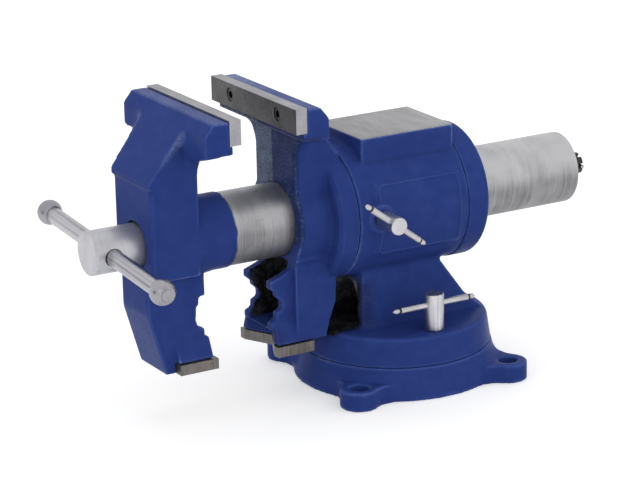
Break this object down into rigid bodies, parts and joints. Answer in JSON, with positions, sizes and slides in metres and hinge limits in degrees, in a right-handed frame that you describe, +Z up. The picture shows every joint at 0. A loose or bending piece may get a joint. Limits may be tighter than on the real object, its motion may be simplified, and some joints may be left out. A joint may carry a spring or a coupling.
{
  "type": "multipurpose bench vise",
  "caption": "Cast bench vise with a swivel base and a turning head: flat jaws and an anvil above, toothed pipe jaws with notched plates below the slide tube.",
  "frame": {"origin": "the swivel axis at the bench plane, which is the centre of the bench bolt circle", "axes": "+Z up from the bench, +Y along the slide from the handle towards the rear, +X across the jaws"},
  "size_m": [0.1976, 0.4269, 0.2345],
  "materials": {
    "paint": "deep blue gloss enamel over cast iron",
    "ground_steel": "ground",
    "bright_steel": "turned and bright plated",
    "dark_steel": "dark oxide, oiled",
    "raw_iron": "milled, bare",
    "bronze": "turned"
  },
  "bodies": {
    "base": {"base_plate": "paint", "pivot_bolt": "dark_steel"},
    "swivel": {"swivel_housing": "paint", "pivot_washer": "ground_steel", "pivot_nut": "dark_steel"},
    "near_base_lock": {"near_base_lock_screw": "bright_steel"},
    "near_base_bar": {"near_base_lock_bar": "bright_steel"},
    "near_base_nut": {"near_base_lock_nut": "dark_steel"},
    "far_base_lock": {"far_base_lock_screw": "bright_steel"},
    "far_base_bar": {"far_base_lock_bar": "bright_steel"},
    "far_base_nut": {"far_base_lock_nut": "dark_steel"},
    "head_shoe": {"head_lock_shoe": "bronze"},
    "head_lock": {"head_lock_screw": "bright_steel"},
    "head_lock_lever": {"head_lock_bar": "bright_steel"},
    "head": {"fixed_jaw": "paint", "fixed_jaw_plate": "ground_steel", "fixed_plate_screws": "dark_steel", "fixed_pipe_plate": "raw_iron", "fixed_pipe_screws": "dark_steel", "rear_flange": "paint", "rear_flange_screws": "dark_steel", "spindle_nut": "raw_iron", "spindle_nut_screw": "dark_steel"},
    "slide": {"moving_jaw": "paint", "moving_jaw_plate": "ground_steel", "moving_plate_screws": "dark_steel", "moving_pipe_plate": "raw_iron", "moving_pipe_screws": "dark_steel", "thrust_washer": "bronze", "tube_end_plug": "raw_iron"},
    "screw": {"spindle": "bright_steel", "end_washer": "ground_steel", "end_nut": "dark_steel", "cotter_pin": "ground_steel"},
    "handle": {"handle_bar": "bright_steel", "handle_ends": "bright_steel"}
  },
  "joints": [
    {"name": "swivel_turn", "type": "hinge", "parent": "base", "child": "swivel", "pos_m": [0, 0, 0], "axis": [0, 0, 1], "continuous": true},
    {"name": "near_base_lock_turn", "type": "hinge", "parent": "swivel", "child": "near_base_lock", "pos_m": [0.056, 0, 0.0465], "axis": [0, 0, 1], "range_deg": [-25, 25]},
    {"name": "near_base_bar_slide", "type": "slide", "parent": "near_base_lock", "child": "near_base_bar", "axis": [0, 1, 0], "range_m": [-0.02, 0.02]},
    {"name": "near_base_nut_slide", "type": "slide", "parent": "swivel", "child": "near_base_nut", "axis": [0, 0, 1], "range_m": [-0.000125, 0.000125]},
    {"name": "far_base_lock_turn", "type": "hinge", "parent": "swivel", "child": "far_base_lock", "pos_m": [-0.056, 0, 0.0465], "axis": [0, 0, 1], "range_deg": [-25, 25]},
    {"name": "far_base_bar_slide", "type": "slide", "parent": "far_base_lock", "child": "far_base_bar", "axis": [0, 1, 0], "range_m": [-0.02, 0.02]},
    {"name": "far_base_nut_slide", "type": "slide", "parent": "swivel", "child": "far_base_nut", "axis": [0, 0, 1], "range_m": [-0.000125, 0.000125]},
    {"name": "head_shoe_slide", "type": "slide", "parent": "swivel", "child": "head_shoe", "axis": [1, 0, 0], "range_m": [-0.00029, 0.00145]},
    {"name": "head_lock_turn", "type": "hinge", "parent": "head_shoe", "child": "head_lock", "pos_m": [0.0555, -0.0425, 0.139], "axis": [1, 0, 0], "range_deg": [-60, 300]},
    {"name": "head_bar_slide", "type": "slide", "parent": "head_lock", "child": "head_lock_lever", "axis": [0, 0.8007, -0.599], "range_m": [-0.016, 0.016]},
    {"name": "head_turn", "type": "hinge", "parent": "swivel", "child": "head", "pos_m": [0, 0, 0.136], "axis": [0, 1, 0], "continuous": true},
    {"name": "jaw_slide", "type": "slide", "parent": "head", "child": "slide", "axis": [0, 1, 0], "range_m": [-0.0826, 0.0443]},
    {"name": "screw_turn", "type": "hinge", "parent": "slide", "child": "screw", "pos_m": [0, -0.2118, 0.136], "axis": [0, 1, 0], "range_deg": [-5950, 3192]},
    {"name": "handle_slide", "type": "slide", "parent": "screw", "child": "handle", "axis": [0.9974, 0, -0.0724], "range_m": [-0.064, 0.064]}
  ],
  "couplings": [
    {"joint": "screw_turn", "follows": "jaw_slide", "rad_per_m": 1256.6},
    {"joint": "near_base_nut_slide", "follows": "near_base_lock_turn", "m_per_rad": -0.00027852},
    {"joint": "far_base_nut_slide", "follows": "far_base_lock_turn", "m_per_rad": -0.00027852},
    {"joint": "head_lock_turn", "follows": "head_shoe_slide", "rad_per_m": 3590.4}
  ]
}
